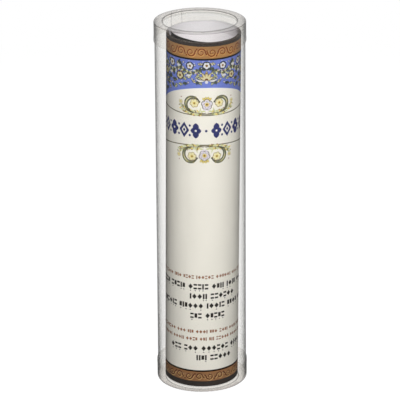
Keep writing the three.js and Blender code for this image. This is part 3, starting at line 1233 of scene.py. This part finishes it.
def seen_rays(tree):
    """1 for rays that see the surroundings straight or refracted, and 1 for mirrored ones."""
    path = node(tree, "LightPath").outputs
    straight = maths(tree, "MAXIMUM", path["Is Camera Ray"], path["Is Transmission Ray"])
    return straight, path["Is Glossy Ray"]


def floor_material():
    """Glows white to the camera and keeps the object's soft shadow, with a painted shadow that dims
    the glow under the case. Mirrors dimly, darker near the object as painted shade.
    """
    material, tree = new_material("studio_floor")
    place = node(tree, "TexCoord").outputs["Object"]
    length = node(tree, "VectorMath", {"operation": "LENGTH"})
    tree.links.new(place, length.inputs[0])
    away = length.outputs["Value"]
    seen, mirrored = seen_rays(tree)
    bounce = maths(tree, "MULTIPLY_ADD", seen, FLOOR_PAINT - FLOOR_BOUNCE, FLOOR_BOUNCE)
    mottle = spread(tree, noise(tree, place, MOTTLE_SCALE, 3.0), 1 - MOTTLE, 1)
    shade = maths(tree, "MULTIPLY", mottle, bounce)
    paint = node(tree, "BsdfDiffuse", Color=tinted(tree, FLOOR_COLOUR, shade))
    under = ramp(tree, away, PAINTED_SHADOW_FROM, PAINTED_SHADOW_TO, FLOOR_GLOW * PAINTED_SHADOW_GLOW, FLOOR_GLOW)
    glow = node(tree, "Emission", Strength=maths(tree, "MULTIPLY", seen, under))
    near = joined(tree, "AddShader", paint, glow)
    white = node(tree, "Emission", Strength=seen)
    far = maths(tree, "MULTIPLY", ramp(tree, away, WHITE_FROM, WHITE_TO, kind="SMOOTHSTEP"), seen)
    direct = joined(tree, "MixShader", near, white, Fac=far)
    mirror_painted_shade = ramp(tree, away, MIRROR_FROM, MIRROR_TO, MIRROR_GLOW_NEAR, MIRROR_GLOW_FAR)
    reflected = node(tree, "Emission", Strength=mirror_painted_shade)
    show(tree, joined(tree, "MixShader", direct, reflected, Fac=mirrored))
    return material


def add_floor():
    mesh = bpy.data.meshes.new("floor")
    near, far = -FLOOR_HALF, FLOOR_HALF
    corners = [(near, near, 0), (far, near, 0), (far, far, 0), (near, far, 0)]
    mesh.from_pydata(corners, [], [(0, 1, 2, 3)])
    mesh.materials.append(floor_material())
    floor = add_object("floor", mesh)
    floor.location.z = -FLOOR_DROP


def add_world():
    """White surroundings. Mirrored, they are dim low down, so that the clear edges show
    dark and the film veils the print only a little."""
    world = bpy.data.worlds.new("studio")
    bpy.context.scene.world = world
    world.use_nodes = True
    tree = world.node_tree
    tree.nodes.clear()
    parts = node(tree, "SeparateXYZ", Vector=node(tree, "TexCoord").outputs["Generated"])
    above = ramp(tree, parts.outputs["Z"], TOP_FROM, TOP_TO, DIM_SIDES, BRIGHT_TOP, "SMOOTHSTEP")
    straight, mirrored = seen_rays(tree)
    level = maths(tree, "MAXIMUM", straight, maths(tree, "MULTIPLY", mirrored, above))
    strength = maths(tree, "MAXIMUM", level, AMBIENT)
    show(tree, node(tree, "Background", Color=(1, 1, 1, 1), Strength=strength), "OutputWorld")


# Place, width and power of each lamp
LAMPS = {
    "key": ((0.1, -1.3, 0.95), 0.4, 26.6),
    "top": ((0.05, -0.35, 1.3), 0.6, 2.2),
    "back": ((0, 1.4, 0.7), 0.8, 17),
}


def add_lamps():
    """Soft lamps aimed at the scroll's middle, which the plastic doesn't mirror."""
    for name, (place, width, power) in LAMPS.items():
        data = bpy.data.lights.new(name, "AREA")
        data.shape = "DISK"
        data.size = width
        data.energy = power
        lamp = add_object(name, data)
        lamp.location = place
        aim = Vector((0, 0, SCROLL_HEIGHT / 2)) - Vector(place)
        lamp.rotation_euler = aim.to_track_quat("-Z", "Y").to_euler()
        lamp.visible_glossy = False


SEE_THROUGH_DEPTH = 32


def dress(piece, node_name, body):
    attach(piece, body)
    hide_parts(node_name)


def add_plastic():
    tube = make_tube("clear_tube_film", make_films("tube", TUBE_TINT, TUBE_EDGE, BEND_TINTS))
    dress(tube, "clear_tube", "tube")
    film = make_films("cap", CAP_TINT, CAP_EDGE, BEND_TINTS)
    top_cap = make_cap("top_cap_film", cap_high.z, 1, CAP_EDGE_RADIUS, film)
    dress(top_cap, "top_cap", "top_cap")
    # The bottom cap is the same film, tinted lighter at its bends as painted light from the floor
    film = make_films("foot_cap_painted_light", CAP_TINT, CAP_EDGE, FOOT_BEND_PAINTED_LIGHT_TINTS)
    bottom_cap = make_cap("bottom_cap_film", 0, -1, FOOT_EDGE_RADIUS, film)
    dress(bottom_cap, "bottom_cap", "bottom_cap")


# Each leaf's node, print and material slot, from the outermost leaf inward
LEAF_LOOKS = (
    ("title_leaf", title_print, "printed_paper"),
    ("middle_leaf", plain_print, "text_paper"),
    ("last_leaf", plain_print, "text_paper"),
)


def add_scroll():
    inks = {name: ink_material(name, *look) for name, look in INKS.items()}
    for leaf, (name, print_maker, slot) in enumerate(LEAF_LOOKS):
        dress(make_leaf(name + "_print", leaf, print_maker, inks), name, "scroll")


bpy.context.scene.view_settings.view_transform = "Standard"
bpy.context.scene.cycles.transparent_max_bounces = SEE_THROUGH_DEPTH
add_camera()
add_world()
add_floor()
add_lamps()
add_plastic()
add_scroll()

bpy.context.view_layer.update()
